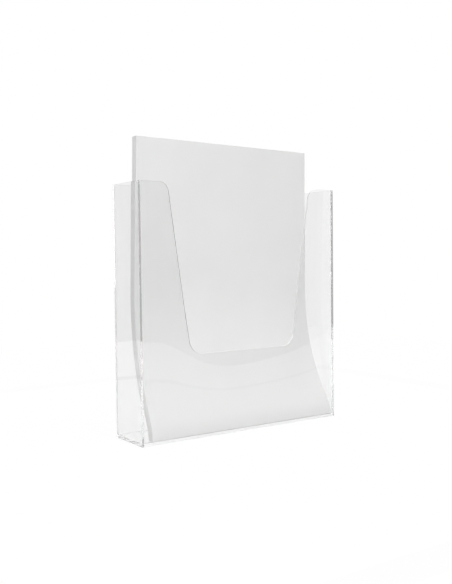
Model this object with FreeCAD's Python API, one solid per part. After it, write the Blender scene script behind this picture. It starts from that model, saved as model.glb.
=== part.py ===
import FreeCAD, Part

import math
import os

# Table-top magazine rack: a shallow open-topped box of clear acrylic sheet, cemented along its
# edges, with a curved opal panel standing inside it that holds the magazines up and pushes
# their lower edge forward.
#
# Units are millimetres. +X is to the viewer's right, the front faces -Y, +Z is up, and the
# origin is on the table under the middle of the box.

# Box, outside sizes
box_width = 236.0
box_depth = 51.0
box_height = 244.0
sheet = 2.0  # acrylic sheet of the four upright walls
base_sheet = 3.0

# U-shaped cut-out of the front wall, where a magazine's cover shows and a hand reaches in
cut_floor_z = 81.0  # lower edge of the cut-out
cut_top_half = 86.5  # half its width at the top of the box, corners not rounded
cut_floor_half = 62.0  # half its width at the lower edge, corners not rounded
cut_top_radius = 10.0
cut_floor_radius = 14.5

# Curved panel
panel_sheet = 3.0  # thickness of its face
panel_depth = 8.5  # face and turned-back flange together, square to the face
panel_flange = 3.0  # thickness of the flanges
foot_radius = 40.0  # bend at the foot, on the front face
foot_lean_deg = 24.0  # lean of the short straight above the foot, backwards from upright
foot_straight = 9.6
back_radius = 265.0  # long bend behind the magazines, on the front face
top_lean_deg = 1.8  # lean of the upper straight, forwards from upright

# Front outline of the curved panel: half-widths measured from the middle of the box
panel_top_left = 104.1
panel_top_left_z = 289.0
panel_foot_left = 106.0
panel_top_right = 102.6
panel_top_right_z = 286.2
panel_waist_right = 105.6
panel_waist_z = 115.0  # below this height the right edge swings out towards the side wall
panel_foot_right = 115.7

front_y = -box_depth / 2
back_y = box_depth / 2
inner_half = box_width / 2 - sheet
reach = 400.0  # longer than anything, for the outlines that trim a solid


def point(x, y, z):
    return FreeCAD.Vector(x, y, z)


def line(start, end):
    return Part.LineSegment(start, end).toShape()


def slab(x_range, y_range, z_range):
    """Plain rectangular sheet between the given limits."""
    size = [high - low for low, high in (x_range, y_range, z_range)]
    return Part.makeBox(*size, point(x_range[0], y_range[0], z_range[0]))


def rounded_corner(before, corner, after, radius):
    """Start, middle and end of the arc that rounds a corner between two straight edges."""
    towards_before = (before - corner).normalize()
    towards_after = (after - corner).normalize()
    half_angle = towards_before.getAngle(towards_after) / 2
    bisector = (towards_before + towards_after).normalize()
    centre = corner + bisector * (radius / math.sin(half_angle))
    setback = radius / math.tan(half_angle)
    start = corner + towards_before * setback
    end = corner + towards_after * setback
    return start, centre - bisector * radius, end


def cut_out():
    """Prism of the U: slanted sides, rounded lower corners, and shoulders rounded at the top."""
    half = [
        point(0, front_y, cut_floor_z),
        point(cut_floor_half, front_y, cut_floor_z),
        point(cut_top_half, front_y, box_height),
        point(inner_half, front_y, box_height),
        point(inner_half, front_y, reach),
        point(0, front_y, reach),
    ]
    floor_arc = rounded_corner(half[0], half[1], half[2], cut_floor_radius)
    shoulder_arc = rounded_corner(half[1], half[2], half[3], cut_top_radius)
    edges = [
        line(half[0], floor_arc[0]),
        Part.Arc(*floor_arc).toShape(),
        line(floor_arc[2], shoulder_arc[0]),
        Part.Arc(*shoulder_arc).toShape(),
        line(shoulder_arc[2], half[3]),
        line(half[3], half[4]),
        line(half[4], half[5]),
        line(half[5], half[0]),
    ]
    right = Part.Face(Part.Wire(edges)).extrude(point(0, sheet, 0))
    left = right.mirror(point(0, 0, 0), point(1, 0, 0))
    return right.fuse(left)


def front_panel():
    blank = slab((-inner_half, inner_half), (front_y, front_y + sheet), (base_sheet, box_height))
    return blank.cut(cut_out()).removeSplitter()


def back_panel():
    return slab((-inner_half, inner_half), (back_y - sheet, back_y), (base_sheet, box_height))


def side_panel(side):
    """Full-depth side wall: side is -1 for the left one and +1 for the right one."""
    x_range = sorted((side * inner_half, side * box_width / 2))
    return slab(x_range, (front_y, back_y), (0, box_height))


def base_panel():
    return slab((-inner_half, inner_half), (front_y, back_y), (0, base_sheet))


def profile_edges(depth):
    """Side view of the panel, from foot to top, at a depth behind its front face.

    Upright at the foot, an arc that leans the sheet back, a short straight, a long arc that
    brings it past upright again, and a straight that runs to above the top edge.
    """
    lean = math.radians(foot_lean_deg)
    tip = math.radians(top_lean_deg)
    inner = foot_radius - depth
    outer = back_radius + depth
    foot_centre = point(0, front_y + sheet + foot_radius, base_sheet)

    def on_foot(angle):
        return foot_centre + point(0, -inner * math.cos(angle), inner * math.sin(angle))

    forwards = point(0, -math.cos(lean), math.sin(lean))  # square to the short straight
    straight = point(0, math.sin(lean), math.cos(lean)) * foot_straight
    back_centre = foot_centre + forwards * (foot_radius + back_radius) + straight

    def on_back(angle):
        return back_centre + point(0, outer * math.cos(angle), -outer * math.sin(angle))

    upper_start = on_back(-tip)
    upper_end = upper_start + point(0, -math.sin(tip), math.cos(tip)) * reach
    return [
        Part.Arc(on_foot(0), on_foot(lean / 2), on_foot(lean)).toShape(),
        line(on_foot(lean), on_back(lean)),
        Part.Arc(on_back(lean), on_back((lean - tip) / 2), upper_start).toShape(),
        line(upper_start, upper_end),
    ]


def curved_slice(near, far):
    """Bent sheet across the whole box, between two depths behind the panel's front face."""
    face = profile_edges(near)
    rear = profile_edges(far)
    foot = line(rear[0].Vertexes[0].Point, face[0].Vertexes[0].Point)
    top = line(face[-1].Vertexes[-1].Point, rear[-1].Vertexes[-1].Point)
    outline = Part.Wire(face + [top] + rear[::-1] + [foot])
    band = Part.Face(outline)
    band.translate(point(-inner_half, 0, 0))
    return band.extrude(point(2 * inner_half, 0, 0))


def panel_outline(inset):
    """Prism of the panel's front outline, its two sides moved inwards by the inset."""
    rise = panel_waist_z - base_sheet
    flare = panel_foot_right - panel_waist_right
    flare_radius = (rise**2 + flare**2) / (2 * flare)
    middle_angle = math.asin(rise / flare_radius) / 2
    waist = point(panel_waist_right - inset, front_y, panel_waist_z)
    middle = waist + point(1 - math.cos(middle_angle), 0, -math.sin(middle_angle)) * flare_radius
    foot_right = point(panel_foot_right - inset, front_y, base_sheet)
    foot_left = point(-panel_foot_left + inset, front_y, base_sheet)
    top_left = point(-panel_top_left + inset, front_y, panel_top_left_z)
    top_right = point(panel_top_right - inset, front_y, panel_top_right_z)
    edges = [
        line(foot_left, foot_right),
        Part.Arc(foot_right, middle, waist).toShape(),
        line(waist, top_right),
        line(top_right, top_left),
        line(top_left, foot_left),
    ]
    return Part.Face(Part.Wire(edges)).extrude(point(0, box_depth, 0))


def curved_panel():
    """Face sheet with a turned-back flange down each side."""
    face = curved_slice(0, panel_sheet).common(panel_outline(0))
    flanges = curved_slice(panel_sheet, panel_depth).common(panel_outline(0))
    flanges = flanges.cut(panel_outline(panel_flange))
    return face.fuse(flanges).removeSplitter()


def one_solid(name, shape):
    """The single solid of a shape, checked to be closed and whole."""
    if len(shape.Solids) != 1 or not shape.isValid():
        raise ValueError(f"{name} is not one valid solid")
    return shape.Solids[0]


parts = {
    "front_panel": front_panel(),
    "back_panel": back_panel(),
    "left_side_panel": side_panel(-1),
    "right_side_panel": side_panel(1),
    "base_panel": base_panel(),
    "curved_panel": curved_panel(),
}

os.makedirs("parts", exist_ok=True)
for name, shape in parts.items():
    solid = one_solid(name, shape)
    solid.exportStep(f"parts/{name}.step")
    print(name, "volume", round(solid.Volume, 1), "mm3", "box", solid.BoundBox)
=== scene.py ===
import math

import bmesh
import bpy
import numpy as np
from mathutils import Matrix, Vector


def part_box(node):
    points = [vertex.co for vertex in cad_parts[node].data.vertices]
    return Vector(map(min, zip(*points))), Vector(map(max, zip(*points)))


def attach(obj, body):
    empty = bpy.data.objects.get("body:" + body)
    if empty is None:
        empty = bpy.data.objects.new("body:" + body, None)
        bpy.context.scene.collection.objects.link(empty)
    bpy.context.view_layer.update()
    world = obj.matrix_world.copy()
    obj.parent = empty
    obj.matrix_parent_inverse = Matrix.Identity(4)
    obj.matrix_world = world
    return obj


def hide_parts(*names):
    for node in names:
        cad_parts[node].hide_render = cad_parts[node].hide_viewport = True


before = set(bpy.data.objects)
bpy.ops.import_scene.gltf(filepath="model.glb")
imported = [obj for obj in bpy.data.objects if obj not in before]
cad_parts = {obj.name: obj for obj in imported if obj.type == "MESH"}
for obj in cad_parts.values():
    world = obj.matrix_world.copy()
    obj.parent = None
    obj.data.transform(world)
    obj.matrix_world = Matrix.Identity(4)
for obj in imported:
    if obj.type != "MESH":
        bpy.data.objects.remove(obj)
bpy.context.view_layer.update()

# A table-top magazine rack. Five walls of clear cast acrylic, cemented into a shallow box, hold
# a curved panel of glossy opal acrylic. Lengths are metres, the front faces -Y and +X is to the
# viewer's right.

MM = 0.001

front_lo, front_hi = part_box("front_panel")
back_lo, back_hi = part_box("back_panel")
left_lo, left_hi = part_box("left_side_panel")
right_lo, right_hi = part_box("right_side_panel")
base_lo, base_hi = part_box("base_panel")

# The cut-out of the front wall, as the wall was routed
cut_floor_z = 81 * MM
cut_top_half = 86.5 * MM
cut_floor_half = 62 * MM
cut_top_radius = 10 * MM
cut_floor_radius = 14.5 * MM

# The curved panel's bends, on its front face
foot_radius = 40 * MM
back_radius = 265 * MM
foot_straight = 9.6 * MM
foot_lean = math.radians(24.0)
top_tip = math.radians(1.8)
panel_sheet = 3 * MM
panel_depth = 8.5 * MM
panel_flange = 3 * MM

# The curved panel's outline from the front
panel_top_left = 104.1 * MM
panel_top_left_z = 289 * MM
panel_foot_left = 106 * MM
panel_top_right = 102.6 * MM
panel_top_right_z = 286.2 * MM
panel_waist_right = 105.6 * MM
panel_waist_z = 115 * MM
panel_foot_right = 115.7 * MM

# How the sheets were cut and put together
cement_film = 0.03 * MM  # gap left between two cemented walls, so that no two faces coincide
wall_edge = 0.05 * MM  # how far the edges of the walls are eased
panel_edge = 0.4 * MM  # how far the edges of the curved panel are eased
under_gauge = 0.09 * MM  # the left wall is that much under 2 mm, set by how dark its edge looks

# The inward bow of the front wall
front_bow = 2.7 * MM  # at the height of the cut-out's floor
bow_skew = (0.096, -0.308, -0.358)  # how it leans off-centre: constant, linear and square part
bow_power = 1.3  # how it grows with height
bow_reach = 1.6  # where it stops growing, as a multiple of the cut-out floor's height

# The table, a square laminate top with the rack in the middle
table_half = 0.81
table_thickness = 0.02
table_gap = 0.1 * MM  # below the rack's underside, so that no two faces coincide
seam_at = 0.36  # the laminate's grey joint line, a square round the rack
seam_width = 0.03

ACRYLIC_IOR = 1.49


# Colours and nodes

def linear(hex_colour):
    """sRGB hex such as "#E8E8E6" as linear RGBA."""
    parts = [int(hex_colour[i:i + 2], 16) / 255 for i in (1, 3, 5)]
    return (*[c / 12.92 if c <= 0.04045 else ((c + 0.055) / 1.055) ** 2.4 for c in parts], 1.0)


def add_node(tree, kind, settings=None, **inputs):
    """A shader node with its settings, and its inputs set to values or linked to sockets.

    An input goes by its label, with _ for each space, or by i and its number.
    """
    node = tree.nodes.new(kind)
    for name, value in (settings or {}).items():
        setattr(node, name, value)
    for name, value in inputs.items():
        key = int(name[1:]) if name[0] == "i" and name[1:].isdigit() else name.replace("_", " ")
        socket = node.inputs[key]
        if isinstance(value, bpy.types.NodeSocket):
            tree.links.new(value, socket)
        else:
            socket.default_value = value
    return node


def new_material(name):
    """A node material that holds only its output node, and that node."""
    material = bpy.data.materials.new(name)
    material.use_nodes = True
    material.node_tree.nodes.clear()
    return material, material.node_tree.nodes.new("ShaderNodeOutputMaterial")


def clear_cast_acrylic(name, tint, grain, low, high, edge=None):
    """Clear cast acrylic, its roughness drifting between two values over a grain's length.

    It is water-clear, with an index of 1.49, so it shows as Fresnel reflections and as edges
    that pipe light from elsewhere. Soft light and lamps pass straight through it, so that what
    stands behind is lit without noise.

    A satin cut edge scatters what meets it from outside, while light that meets it from within
    the sheet finds a smooth face. The three values of edge are its transmission from outside,
    its transmission from within and its colour from within. That colour is a clear tint where it
    is near white. Where it is grey it is painted shade: a darker rim standing in for the dark
    surroundings that the sheet mirrors onto its edge from inside.
    """
    material, output = new_material(name)
    tree = material.node_tree
    place = add_node(tree, "ShaderNodeTexCoord").outputs["Object"]
    drift = add_node(tree, "ShaderNodeTexNoise", Vector=place, Scale=1 / grain, Detail=3.0)
    roughness = add_node(
        tree, "ShaderNodeMapRange", Value=drift.outputs["Fac"], From_Min=0.45, From_Max=0.75,
        To_Min=low, To_Max=high,
    )
    shader = add_node(
        tree, "ShaderNodeBsdfPrincipled", Base_Color=linear(tint), IOR=ACRYLIC_IOR,
        Roughness=roughness.outputs["Result"], Transmission_Weight=1.0,
    )
    if edge:
        clear_outside, clear_within, tint_and_painted_shade_within = edge
        # From within the sheet the colour changes to the third value of edge. On the routed edge
        # that value is painted shade.
        within = add_node(tree, "ShaderNodeNewGeometry").outputs["Backfacing"]
        colour = add_node(
            tree, "ShaderNodeMix", {"data_type": "RGBA"}, Factor=within, i6=linear(tint),
            i7=linear(tint_and_painted_shade_within),
        )
        share = add_node(
            tree, "ShaderNodeMapRange", Value=within, To_Min=clear_outside, To_Max=clear_within,
        )
        smooth = add_node(
            tree, "ShaderNodeMapRange", Value=within, To_Min=roughness.outputs["Result"],
            To_Max=0.0,
        )
        tree.links.new(colour.outputs[2], shader.inputs["Base Color"])
        tree.links.new(share.outputs["Result"], shader.inputs["Transmission Weight"])
        tree.links.new(smooth.outputs["Result"], shader.inputs["Roughness"])
    path = add_node(tree, "ShaderNodeLightPath")
    soft = add_node(
        tree, "ShaderNodeMath", {"operation": "MAXIMUM"},
        i0=path.outputs["Is Shadow Ray"], i1=path.outputs["Is Diffuse Ray"],
    )
    passing = add_node(tree, "ShaderNodeBsdfTransparent", Color=linear("#FDFDFD"))
    mix = add_node(
        tree, "ShaderNodeMixShader", i0=soft.outputs[0], i1=shader.outputs[0],
        i2=passing.outputs[0],
    )
    tree.links.new(mix.outputs[0], output.inputs["Surface"])
    return material


def opal_acrylic_glossy():
    """Thermoformed opal acrylic: a light neutral grey body under a smooth gloss.

    The body is cloudy by a shade or so over some 60 mm. Forming leaves a faint orange peel
    about 6 mm across, which mottles the reflections.
    """
    material, output = new_material("opal_acrylic_glossy")
    tree = material.node_tree
    place = add_node(tree, "ShaderNodeTexCoord").outputs["Object"]
    cloud = add_node(tree, "ShaderNodeTexNoise", Vector=place, Scale=1 / (60 * MM), Detail=2.0)
    shade = add_node(
        tree, "ShaderNodeMix", {"data_type": "RGBA"}, Factor=cloud.outputs["Fac"],
        i6=linear("#D9D9D9"), i7=linear("#DFDFDF"),
    )
    peel = add_node(tree, "ShaderNodeTexNoise", Vector=place, Scale=1 / (6 * MM), Detail=2.0)
    gloss = add_node(
        tree, "ShaderNodeMapRange", Value=peel.outputs["Fac"], To_Min=0.14, To_Max=0.24,
    )
    relief = add_node(
        tree, "ShaderNodeBump", Height=peel.outputs["Fac"], Strength=0.15, Distance=0.02 * MM,
    )
    shader = add_node(
        tree, "ShaderNodeBsdfPrincipled", Base_Color=shade.outputs[2], IOR=ACRYLIC_IOR,
        Roughness=gloss.outputs["Result"], Normal=relief.outputs["Normal"],
    )
    tree.links.new(shader.outputs["BSDF"], output.inputs["Surface"])
    return material


# Meshes

def grid_quads(rows, columns, first=0):
    """Corner numbers of the quads of a rows by columns grid of points."""
    corner = np.arange(rows * columns).reshape(rows, columns) + first
    quads = np.stack([corner[:-1, :-1], corner[:-1, 1:], corner[1:, 1:], corner[1:, :-1]], -1)
    return quads.reshape(-1, 4)


def new_piece(name, points, faces, material, easing):
    """A mesh object at the origin, its faces turned outwards and its sharp edges eased."""
    mesh = bpy.data.meshes.new(name)
    mesh.from_pydata(points.reshape(-1, 3).tolist(), [], [list(map(int, face)) for face in faces])
    same_point = 0.001 * MM
    shell = bmesh.new()
    shell.from_mesh(mesh)
    bmesh.ops.remove_doubles(shell, verts=shell.verts, dist=same_point)
    bmesh.ops.recalc_face_normals(shell, faces=shell.faces)
    shell.to_mesh(mesh)
    shell.free()
    mesh.shade_smooth()
    mesh.materials.append(material)
    piece = bpy.data.objects.new(name, mesh)
    bpy.context.scene.collection.objects.link(piece)
    bevel = piece.modifiers.new("eased edges", "BEVEL")
    bevel.width = easing
    bevel.segments = 3
    bevel.limit_method = "ANGLE"
    bevel.angle_limit = math.radians(40)
    bevel.harden_normals = True
    return piece


def closed_sheet(name, outer, inner, material):
    """Sheet between two grids of points of one size, closed along its four borders."""
    rows, columns = outer.shape[:2]
    count = rows * columns
    edge = np.arange(count).reshape(rows, columns)
    border = np.concatenate([edge[0, :-1], edge[:-1, -1], edge[-1, :0:-1], edge[:0:-1, 0]])
    following = np.roll(border, -1)
    rim = np.stack([border, following, following + count, border + count], -1)
    faces = [*grid_quads(rows, columns), *grid_quads(rows, columns, count)[:, ::-1], *rim]
    points = np.concatenate([outer.reshape(-1, 3), inner.reshape(-1, 3)])
    return new_piece(name, points, faces, material, wall_edge)


def flat_wall(name, low, high, across, material):
    """Rectangular wall: a flat grid at each end of its thickness, which lies along axis across."""
    first, second = [axis for axis in range(3) if axis != across]
    lines = 9
    u, v = np.meshgrid(
        np.linspace(low[first], high[first], lines), np.linspace(low[second], high[second], lines),
    )
    sides = []
    for level in (low[across], high[across]):
        side = np.empty((*u.shape, 3))
        side[..., first], side[..., second], side[..., across] = u, v, level
        sides.append(side)
    return closed_sheet(name, *sides, material)


def arc_points(centre, radius, start, end, count):
    """Points of an arc: its centre plus its radius times the cosine and sine of each angle."""
    angle = np.linspace(start, end, count)
    return np.stack([centre[0] + radius * np.cos(angle), centre[1] + radius * np.sin(angle)], -1)


def cut_out_edge():
    """Right half of the cut-out's edge, from the middle of its floor to the side wall.

    A level floor, an arc, a straight that leans outwards, an arc the other way, a level
    shoulder. Each arc is tangent to both straights, so its centre lies one radius from each.
    """
    run = np.array([cut_top_half - cut_floor_half, front_hi.z - cut_floor_z])
    run = run / np.hypot(*run)
    lean = math.atan2(run[1], run[0])
    floor_set = cut_floor_radius * math.tan(lean / 2)
    shoulder_set = cut_top_radius * math.tan(lean / 2)
    floor_centre = (cut_floor_half - floor_set, cut_floor_z + cut_floor_radius)
    top_centre = (cut_top_half + shoulder_set, front_hi.z - cut_top_radius)
    floor_count, bend_count, slope_count, shoulder_count, ledge_count = 13, 15, 25, 12, 7
    quarter = math.pi / 2
    floor_arc = arc_points(floor_centre, cut_floor_radius, -quarter, lean - quarter, bend_count)
    top_arc = arc_points(top_centre, cut_top_radius, lean + quarter, quarter, shoulder_count)
    middle_x = np.linspace(0, floor_centre[0], floor_count)[:-1]
    middle = np.stack([middle_x, np.full_like(middle_x, cut_floor_z)], -1)
    share = np.linspace(0, 1, slope_count)[1:-1, None]
    slope = share * (top_arc[0] - floor_arc[-1]) + floor_arc[-1]
    ledge_x = np.linspace(top_centre[0], front_hi.x - cement_film, ledge_count)[1:]
    ledge = np.stack([ledge_x, np.full_like(ledge_x, front_hi.z)], -1)
    return np.concatenate([middle, floor_arc, slope, top_arc, ledge])


def bow_depth(x, z):
    """Inward bow of the front wall, none at the side walls and at the foot.

    Across the width it is the square of a cosine, of a quarter turn at each side wall. The way
    across is first shifted by a square law that fades out at the side walls, so that the
    deepest point lies left of the middle and both flanks are full. Upwards it grows as a power
    of the height over the base, and stays the same above bow_reach.
    """
    way = x / front_hi.x
    constant, slant, square = bow_skew
    across = way + (1 - way**2) * (constant + slant * way + square * way**2)
    height = np.clip((z - front_lo.z) / (cut_floor_z - front_lo.z), 0, bow_reach) ** bow_power
    return front_bow * np.cos(across * math.pi / 2) ** 2 * height


def front_wall(material):
    """Grid of upright lines, one up to each point of the cut-out's edge, moved in by the bow."""
    half = cut_out_edge()
    edge = np.concatenate([half[:0:-1] * (-1, 1), half])
    low = front_lo.z + cement_film
    rows = 25
    share = np.linspace(0, 1, rows)[:, None]
    x = np.broadcast_to(edge[:, 0], (rows, len(edge)))
    z = low + share * (edge[:, 1] - low)
    bow = bow_depth(x, z)
    outer = np.stack([x, front_lo.y + bow, z], -1)
    inner = np.stack([x, front_hi.y + bow, z], -1)
    return closed_sheet("front_wall", outer, inner, material)


def panel_line(depth, share, top):
    """Side view of the curved panel, at a depth behind its front face.

    The share runs from 0 at the foot to 1 at the height of the top: an arc, a straight, a long
    arc the other way and a straight. Both arcs keep their centres, so a point further back has
    a smaller radius in the first arc and a larger one in the second.
    """
    foot_y, foot_z = front_hi.y + foot_radius, base_hi.z
    back_y = (foot_y - (foot_radius + back_radius) * math.cos(foot_lean)
              + foot_straight * math.sin(foot_lean))
    back_z = (foot_z + (foot_radius + back_radius) * math.sin(foot_lean)
              + foot_straight * math.cos(foot_lean))
    inner, outer = foot_radius - depth, back_radius + depth

    def on_foot(angle):
        return foot_y - inner * np.cos(angle), foot_z + inner * np.sin(angle)

    def on_back(angle):
        return back_y + outer * np.cos(angle), back_z - outer * np.sin(angle)

    def between(start, end, part):
        return [a + (b - a) * part for a, b in zip(start, end)]

    upper = on_back(-top_tip)
    rise = top - upper[1]
    summit = (upper[0] - rise * math.tan(top_tip), upper[1] + rise)
    stops = [0.0, 0.10, 0.14, 0.58, 1.0]  # the shares where the four stretches start and end
    parts = [np.clip((share - a) / (b - a), 0, 1) for a, b in zip(stops, stops[1:])]
    stretches = [
        on_foot(parts[0] * foot_lean),
        between(on_foot(foot_lean), on_back(foot_lean), parts[1]),
        on_back(foot_lean - parts[2] * (foot_lean + top_tip)),
        between(upper, summit, parts[3]),
    ]
    chosen = [share < stops[1], share < stops[2], share < stops[3]]
    y = np.select(chosen, [stretch[0] for stretch in stretches[:3]], stretches[3][0])
    z = np.select(chosen, [stretch[1] for stretch in stretches[:3]], stretches[3][1])
    return y, z


def panel_sides(z):
    """Left and right edge of the curved panel at a height, seen from the front.

    The left edge is a straight. The right edge is an arc from the foot up to the waist, upright
    there, and a straight above it.
    """
    left = -(panel_foot_left + (panel_top_left - panel_foot_left)
             * (z - base_hi.z) / (panel_top_left_z - base_hi.z))
    rise, flare = panel_waist_z - base_hi.z, panel_foot_right - panel_waist_right
    radius = (rise**2 + flare**2) / (2 * flare)
    below = np.clip(panel_waist_z - z, 0, rise)
    swing = panel_waist_right + radius - np.sqrt(radius**2 - below**2)
    above = np.clip((z - panel_waist_z) / (panel_top_right_z - panel_waist_z), 0, 1)
    return left, swing + (panel_top_right - panel_waist_right) * above


def curved_back(material):
    """Channel section carried up the side view of the panel.

    The section is a face with a flange turned back at each side. Each of its points has a share
    of the way across, an inset from that side's edge and a depth behind the front face.
    """
    columns, rings = 33, 121
    flat = np.linspace(0, 1, columns)
    section = np.concatenate([
        np.stack([flat, np.zeros(columns), np.zeros(columns)], -1),
        [(1, 0, panel_depth), (1, panel_flange, panel_depth), (1, panel_flange, panel_sheet)],
        [(0, panel_flange, panel_sheet), (0, panel_flange, panel_depth), (0, 0, panel_depth)],
    ])
    count = len(section)
    way, share = np.meshgrid(np.arange(count), np.linspace(0, 1, rings))
    width, inset, depth = section[way].transpose(2, 0, 1)
    slope = (panel_top_right_z - panel_top_left_z) / (panel_top_right + panel_top_left)
    across_top = (1 - width) * (inset - panel_top_left) + width * (panel_top_right - inset)
    y, z = panel_line(depth, share, panel_top_left_z + slope * (across_top + panel_top_left))
    left, right = panel_sides(z)
    x = (1 - width) * (left + inset) + width * (right - inset)
    points = np.stack([x, y, z], -1)
    corner = np.arange(rings * count).reshape(rings, count)
    after = np.roll(corner, -1, axis=1)
    skin = np.stack([corner[:-1], after[:-1], after[1:], corner[1:]], -1).reshape(-1, 4)
    faces = [*skin, corner[0][::-1], corner[-1]]
    return new_piece("curved_back", points, faces, material, panel_edge)


def cut_back(low, high, axes):
    """A box made smaller by the cement film along the given axes."""
    shrink = Vector([cement_film if axis in axes else 0 for axis in range(3)])
    return Vector(low) + shrink, Vector(high) - shrink


def give_edges(piece, chosen, material):
    """Give a wall's chosen faces a material: chosen is a test of a face's middle and normal."""
    piece.data.materials.append(material)
    for polygon in piece.data.polygons:
        polygon.material_index = int(chosen(polygon.center, polygon.normal))


# The pieces

# The faces are as cast, under a film that has only just come off: wiping leaves a haze, in
# patches some 35 mm across, that is barely there. The router and the saw leave the cut edges
# satin, with tool marks about 2 mm apart.
clear = clear_cast_acrylic("cast_acrylic_polished", "#FBFBFB", 35 * MM, 0.0, 0.035)
# The routed rim's grey #787878 from within is painted shade. It darkens the cut-out's rim where the
# sheet would mirror dark surroundings onto it from inside.
routed = clear_cast_acrylic(
    "cast_acrylic_routed_edge_painted_shade", "#F4F4F4", 2 * MM, 0.4, 0.5, (0.3, 0.3, "#787878"),
)
sawn = clear_cast_acrylic(
    "cast_acrylic_sawn_edge", "#F4F4F4", 2 * MM, 0.4, 0.5, (0.3, 1.0, "#FBFBFB"),
)
opal = opal_acrylic_glossy()

left_inner = left_hi - Vector((under_gauge, 0, 0))
walls = {
    "front_panel": front_wall(clear),
    "back_panel": flat_wall("back_wall", *cut_back(back_lo, back_hi, (0, 2)), 1, clear),
    "left_side_panel": flat_wall("left_side_wall", left_lo, left_inner, 0, clear),
    "right_side_panel": flat_wall("right_side_wall", right_lo, right_hi, 0, clear),
    "base_panel": flat_wall("base_plate", *cut_back(base_lo, base_hi, (0,)), 2, clear),
}
routed_from = cut_floor_z - 1 * MM  # the rim above this height was routed
give_edges(
    walls["front_panel"], lambda at, normal: at.z > routed_from and abs(normal.y) < 0.5, routed,
)
give_edges(walls["back_panel"], lambda at, normal: abs(normal.y) < 0.5, sawn)
give_edges(walls["base_panel"], lambda at, normal: normal.y < -0.5, sawn)
for node, piece in walls.items():
    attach(piece, "root")
    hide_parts(node)

curved = curved_back(opal)
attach(curved, "root")
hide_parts("curved_panel")


# Table, surroundings and lights

def table_white():
    """White laminate of the table, with a light grey joint line round the rack.

    Seen straight or through the walls it is nearly as white as the paper behind it. In
    reflections it keeps its own shade.
    """
    paper_part = 0.97  # how much of the paper's white it has when seen straight
    material, output = new_material("table_white_laminate")
    tree = material.node_tree
    path = add_node(tree, "ShaderNodeLightPath")
    depth = add_node(
        tree, "ShaderNodeMath", {"operation": "ADD"}, i0=path.outputs["Glossy Depth"],
        i1=path.outputs["Diffuse Depth"],
    )
    straight = add_node(
        tree, "ShaderNodeMath", {"operation": "LESS_THAN"}, i0=depth.outputs[0], i1=0.5,
    )
    paper_share = add_node(
        tree, "ShaderNodeMath", {"operation": "MULTIPLY"}, i0=straight.outputs[0],
        i1=paper_part,
    )
    place = add_node(tree, "ShaderNodeTexCoord").outputs["Object"]
    flat = add_node(tree, "ShaderNodeVectorMath", {"operation": "ABSOLUTE"}, i0=place)
    apart = add_node(tree, "ShaderNodeSeparateXYZ", Vector=flat.outputs[0])
    out = add_node(
        tree, "ShaderNodeMath", {"operation": "MAXIMUM"}, i0=apart.outputs["X"],
        i1=apart.outputs["Y"],
    )
    seam = add_node(
        tree, "ShaderNodeMath", {"operation": "COMPARE"}, i0=out.outputs[0], i1=seam_at,
        i2=seam_width / 2,
    )
    shade = add_node(
        tree, "ShaderNodeMix", {"data_type": "RGBA"}, Factor=seam.outputs[0],
        i6=linear("#E2E2E2"), i7=linear("#BEBEBE"),
    )
    body = add_node(tree, "ShaderNodeBsdfDiffuse", Color=shade.outputs[2])
    paper = add_node(tree, "ShaderNodeEmission", Color=linear("#FFFFFF"), Strength=1.0)
    mix = add_node(
        tree, "ShaderNodeMixShader", i0=paper_share.outputs[0], i1=body.outputs[0],
        i2=paper.outputs[0],
    )
    tree.links.new(mix.outputs[0], output.inputs["Surface"])
    return material


def table():
    """The table's top, a flat box whose upper face lies just under the rack."""
    mesh = bpy.data.meshes.new("table_top")
    half = table_half
    outline = [(-half, -half), (half, -half), (half, half), (-half, half)]
    corners = [(x, y, z) for z in (-table_thickness, -table_gap) for x, y in outline]
    faces = [(3, 2, 1, 0), (4, 5, 6, 7), (0, 1, 5, 4), (1, 2, 6, 5), (2, 3, 7, 6), (3, 0, 4, 7)]
    mesh.from_pydata(corners, [], faces)
    mesh.materials.append(table_white())
    top = bpy.data.objects.new("table_top", mesh)
    bpy.context.scene.collection.objects.link(top)


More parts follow.
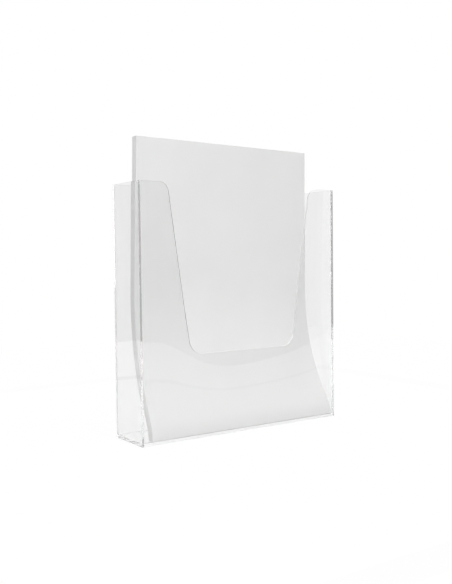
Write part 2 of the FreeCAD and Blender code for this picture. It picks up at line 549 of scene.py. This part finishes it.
def surroundings():
    """White paper all round, seen straight or through the walls, and a grey studio in mirrors.

    A wall mirrors the studio, except towards the paper behind the rack, which stays white. Light
    that was reflected 6 to 14 times has run along inside a wall, and comes out of its edge grey
    wherever it came from. Light reflected more often than that comes from the paper again. Soft
    light on surfaces comes from the room as a whole.
    """
    behind = (0.567, 0.824, 0.0)  # from the rack to the paper behind it
    mirrored_from, piped_from, piped_to = 0.5, 5.5, 14.5  # numbers of reflections
    paper_width = 0.83  # cosine of the angle between the middle of that paper and its edge
    world = bpy.data.worlds.new("soft_studio")
    bpy.context.scene.world = world
    world.use_nodes = True
    tree = world.node_tree
    tree.nodes.clear()
    path = add_node(tree, "ShaderNodeLightPath")
    depth = path.outputs["Glossy Depth"]
    first = add_node(
        tree, "ShaderNodeMath", {"operation": "GREATER_THAN"}, i0=depth, i1=mirrored_from,
    )
    way = add_node(tree, "ShaderNodeTexCoord").outputs["Generated"]
    ahead = add_node(
        tree, "ShaderNodeVectorMath", {"operation": "DOT_PRODUCT"}, i0=way, i1=behind,
    )
    short = add_node(
        tree, "ShaderNodeMath", {"operation": "LESS_THAN"}, i0=ahead.outputs["Value"],
        i1=paper_width,
    )
    brief = add_node(tree, "ShaderNodeMath", {"operation": "LESS_THAN"}, i0=depth, i1=piped_to)
    piped = add_node(
        tree, "ShaderNodeMath", {"operation": "GREATER_THAN"}, i0=depth, i1=piped_from,
    )
    aside = add_node(
        tree, "ShaderNodeMath", {"operation": "MAXIMUM"}, i0=piped.outputs[0], i1=short.outputs[0],
    )
    once = add_node(
        tree, "ShaderNodeMath", {"operation": "MULTIPLY"}, i0=first.outputs[0], i1=brief.outputs[0],
    )
    mirrored = add_node(
        tree, "ShaderNodeMath", {"operation": "MULTIPLY"}, i0=once.outputs[0], i1=aside.outputs[0],
    )
    lighting = add_node(
        tree, "ShaderNodeMath", {"operation": "MINIMUM"}, i0=path.outputs["Diffuse Depth"], i1=1.0,
    )
    paper = add_node(tree, "ShaderNodeBackground", Color=linear("#FFFFFF"), Strength=1.0)
    studio = add_node(tree, "ShaderNodeBackground", Color=linear("#B2B2B2"), Strength=1.0)
    room = add_node(tree, "ShaderNodeBackground", Color=linear("#FFFFFF"), Strength=0.62)
    looked = add_node(
        tree, "ShaderNodeMixShader", i0=mirrored.outputs[0], i1=paper.outputs[0],
        i2=studio.outputs[0],
    )
    lit = add_node(
        tree, "ShaderNodeMixShader", i0=lighting.outputs[0], i1=looked.outputs[0],
        i2=room.outputs[0],
    )
    output = add_node(tree, "ShaderNodeOutputWorld")
    tree.links.new(lit.outputs[0], output.inputs["Surface"])


def soft_box(name, place, aim, size, power):
    """A square area light at a place, facing the aim."""
    data = bpy.data.lights.new(name, "AREA")
    data.size = size
    data.energy = power
    lamp = bpy.data.objects.new(name, data)
    lamp.location = place
    lamp.rotation_euler = (Vector(aim) - Vector(place)).to_track_quat("-Z", "Y").to_euler()
    bpy.context.scene.collection.objects.link(lamp)


def camera():
    """From in front and to the left, at about seven tenths of the box's height."""
    stand = (-0.4535, -0.6515, 0.1727)
    yaw, pitch, roll = [math.radians(angle) for angle in (34.534, -2.497, -0.651)]
    data = bpy.data.cameras.new("camera")
    data.sensor_width = 36
    data.lens = 47.91
    data.clip_start, data.clip_end = 0.01, 50
    eye = bpy.data.objects.new("camera", data)
    ahead = Vector((
        math.sin(yaw) * math.cos(pitch), math.cos(yaw) * math.cos(pitch), math.sin(pitch),
    ))
    level = Vector((math.cos(yaw), -math.sin(yaw), 0))
    over = level.cross(ahead)
    right = math.cos(roll) * level + math.sin(roll) * over
    up = math.cos(roll) * over - math.sin(roll) * level
    turn = Matrix((right, up, -ahead)).transposed()
    eye.matrix_world = Matrix.Translation(stand) @ turn.to_4x4()
    bpy.context.scene.collection.objects.link(eye)
    bpy.context.scene.camera = eye


table()
surroundings()
soft_box("overhead_soft_box", (0.1, -0.55, 2.2), (0, 0, 0.1), 1.2, 30.0)
soft_box("side_soft_box", (-0.75, -0.8, 0.35), (0, 0, 0.15), 0.5, 3.0)
soft_box("rear_soft_box", (0.3, 1.5, 1.3), (0, 0, 0.15), 0.9, 6.0)
camera()

bounces = 128  # enough for light that runs the length of a wall
scene = bpy.context.scene
scene.view_settings.view_transform = "Standard"
scene.cycles.max_bounces = bounces
scene.cycles.glossy_bounces = bounces
scene.cycles.transmission_bounces = bounces
